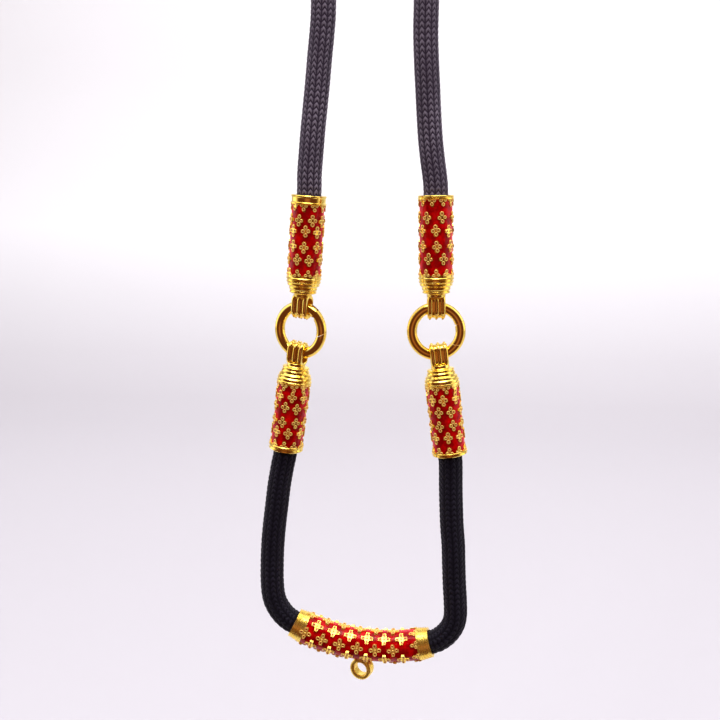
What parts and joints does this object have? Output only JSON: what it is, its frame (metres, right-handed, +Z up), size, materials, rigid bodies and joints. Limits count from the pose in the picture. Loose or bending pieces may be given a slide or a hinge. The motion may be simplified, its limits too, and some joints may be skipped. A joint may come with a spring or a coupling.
{
  "type": "amulet necklace",
  "caption": "Braided cord necklace with enamelled end caps, spring-gate rings and a bent enamelled tube with an eye for hanging an amulet.",
  "frame": {"origin": "top inside of the cord loop, on its middle plane, where the necklace hangs", "axes": "+Z up, +X to the right as seen from the front, the front faces -Y"},
  "size_m": [0.063, 0.0133, 0.3403],
  "materials": {
    "braid": "round braid, satin",
    "gold": "polished gold plating",
    "enamel": "glossy translucent red enamel"
  },
  "bodies": {
    "necklace": {"neck_cord": "braid", "lower_cord": "braid", "cap_upper_left": "gold", "cap_upper_right": "gold", "cap_lower_left": "gold", "cap_lower_right": "gold", "centre_tube": "gold", "ring_left": "gold", "ring_right": "gold", "enamel_upper_left": "enamel", "enamel_upper_right": "enamel", "enamel_lower_left": "enamel", "enamel_lower_right": "enamel", "centre_enamel": "enamel"},
    "left_gate": {"gate_left": "gold"},
    "right_gate": {"gate_right": "gold"}
  },
  "joints": [
    {"name": "left_gate_hinge", "type": "hinge", "parent": "necklace", "child": "left_gate", "pos_m": [-0.01769, -0.00149, -0.22037], "axis": [0.342, 0.9397, 0], "range_deg": [0, 30], "stiffness_Nm_per_rad": 0.001, "springref_deg": -11.46},
    {"name": "right_gate_hinge", "type": "hinge", "parent": "necklace", "child": "right_gate", "pos_m": [0.02419, 0.00076, -0.22226], "axis": [-0.1219, 0.9925, 0], "range_deg": [0, 8], "stiffness_Nm_per_rad": 0.001, "springref_deg": -11.46}
  ]
}
